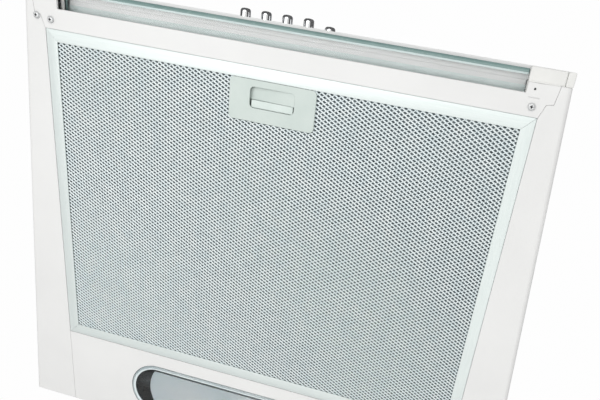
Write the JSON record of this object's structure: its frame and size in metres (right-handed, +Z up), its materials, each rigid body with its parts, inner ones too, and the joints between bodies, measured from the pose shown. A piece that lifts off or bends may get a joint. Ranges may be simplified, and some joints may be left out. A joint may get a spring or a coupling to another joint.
{
  "type": "under cabinet range hood",
  "caption": "Slim white cooker hood for under a cabinet: glass pull-out visor, push-buttons, drop-down grease filter, long lamp, centrifugal fan and round top outlet.",
  "frame": {"origin": "on the flat roof plate, on the centre line, 145 mm in front of the rear wall; the hood hangs below it", "axes": "+X to the right seen from the front, +Y towards the kitchen wall, +Z up"},
  "size_m": [0.6, 0.4976, 0.1921],
  "materials": {
    "white_paint": "gloss powder coat",
    "white_plastic": "satin moulded",
    "aluminium": "satin anodised",
    "mesh": "expanded mesh",
    "latch_plastic": "fine matte",
    "glass": "clear float glass with green edges",
    "chrome": "polished",
    "lens": "clear smoky",
    "reflector": "satin",
    "zinc_steel": "zinc plated",
    "grey_plastic": "moulded",
    "black_plastic": "moulded",
    "bronze": "sintered",
    "opal_glass": "opal"
  },
  "bodies": {
    "body": {"side_panel_left": "white_paint", "side_panel_right": "white_paint", "top_cover": "white_paint", "front_fascia": "white_paint", "front_cross_panel": "white_paint", "lamp_panel": "white_paint", "corner_block_left": "white_plastic", "corner_block_right": "white_plastic", "end_cap_left": "white_plastic", "end_cap_right": "white_plastic", "terminal_box": "white_plastic", "terminal_lid": "white_plastic", "motor_capacitor": "white_plastic", "internal_lead": "white_plastic", "cross_panel_screw_left": "chrome", "cross_panel_screw_right": "chrome", "strip_screw": "chrome", "lamp_lens": "lens", "lamp_reflector": "reflector", "glass_rail_left": "zinc_steel", "glass_rail_right": "zinc_steel", "motor_case": "zinc_steel", "motor_bracket": "zinc_steel", "capacitor_strap": "zinc_steel", "damper_pin_front": "zinc_steel", "damper_pin_rear": "zinc_steel", "fan_volute": "grey_plastic", "volute_lid": "grey_plastic", "outlet_box": "grey_plastic", "outlet_collar": "grey_plastic", "switch_block": "black_plastic", "lamp_tub": "black_plastic", "lamp_holder_left": "black_plastic", "lamp_holder_right": "black_plastic", "cable_gland": "black_plastic", "motor_bush_lower": "bronze", "motor_bush_upper": "bronze", "bulb_left": "opal_glass", "bulb_right": "opal_glass"},
    "visor": {"glass_visor": "glass", "glass_shoe_left": "grey_plastic", "glass_shoe_right": "grey_plastic"},
    "filter": {"filter_frame": "aluminium", "filter_front_mesh": "mesh", "filter_core": "mesh", "filter_back_mesh": "mesh", "filter_hook_left": "aluminium", "filter_hook_right": "aluminium", "latch_housing": "latch_plastic", "latch_spring": "zinc_steel"},
    "latch": {"latch_slider": "latch_plastic"},
    "rotor": {"impeller": "grey_plastic", "motor_shaft": "zinc_steel"},
    "flap_front": {"damper_flap_front": "black_plastic"},
    "flap_rear": {"damper_flap_rear": "black_plastic"},
    "push_button_1": {"button_1": "chrome"},
    "push_button_2": {"button_2": "chrome"},
    "push_button_3": {"button_3": "chrome"},
    "push_button_4": {"button_4": "chrome"},
    "push_button_5": {"button_5": "chrome"}
  },
  "joints": [
    {"name": "visor_slide", "type": "slide", "parent": "body", "child": "visor", "axis": [0, -1, 0], "range_m": [0, 0.085]},
    {"name": "filter_hinge", "type": "hinge", "parent": "body", "child": "filter", "pos_m": [0, 0.0425, -0.1295], "axis": [1, 0, 0], "range_deg": [0, 80]},
    {"name": "latch_slide", "type": "slide", "parent": "filter", "child": "latch", "axis": [0, 1, 0], "range_m": [0, 0.005], "stiffness_N_per_m": 300, "springref_m": -0.002, "deforming": ["latch_spring"]},
    {"name": "impeller_spin", "type": "hinge", "parent": "body", "child": "rotor", "pos_m": [0, -0.065, -0.066], "axis": [0, 0, 1], "continuous": true},
    {"name": "flap_front_hinge", "type": "hinge", "parent": "body", "child": "flap_front", "pos_m": [0, 0.0758, 0.004], "axis": [-1, 0, 0], "range_deg": [0, 80]},
    {"name": "flap_rear_hinge", "type": "hinge", "parent": "body", "child": "flap_rear", "pos_m": [0, 0.0802, 0.004], "axis": [1, 0, 0], "range_deg": [0, 80]},
    {"name": "button_1_slide", "type": "slide", "parent": "body", "child": "push_button_1", "axis": [0, 1, 0], "range_m": [0, 0.004], "stiffness_N_per_m": 250, "springref_m": -0.002},
    {"name": "button_2_slide", "type": "slide", "parent": "body", "child": "push_button_2", "axis": [0, 1, 0], "range_m": [0, 0.004], "stiffness_N_per_m": 250, "springref_m": -0.002},
    {"name": "button_3_slide", "type": "slide", "parent": "body", "child": "push_button_3", "axis": [0, 1, 0], "range_m": [0, 0.004], "stiffness_N_per_m": 250, "springref_m": -0.002},
    {"name": "button_4_slide", "type": "slide", "parent": "body", "child": "push_button_4", "axis": [0, 1, 0], "range_m": [0, 0.004], "stiffness_N_per_m": 250, "springref_m": -0.002},
    {"name": "button_5_slide", "type": "slide", "parent": "body", "child": "push_button_5", "axis": [0, 1, 0], "range_m": [-0.004, 0]}
  ]
}
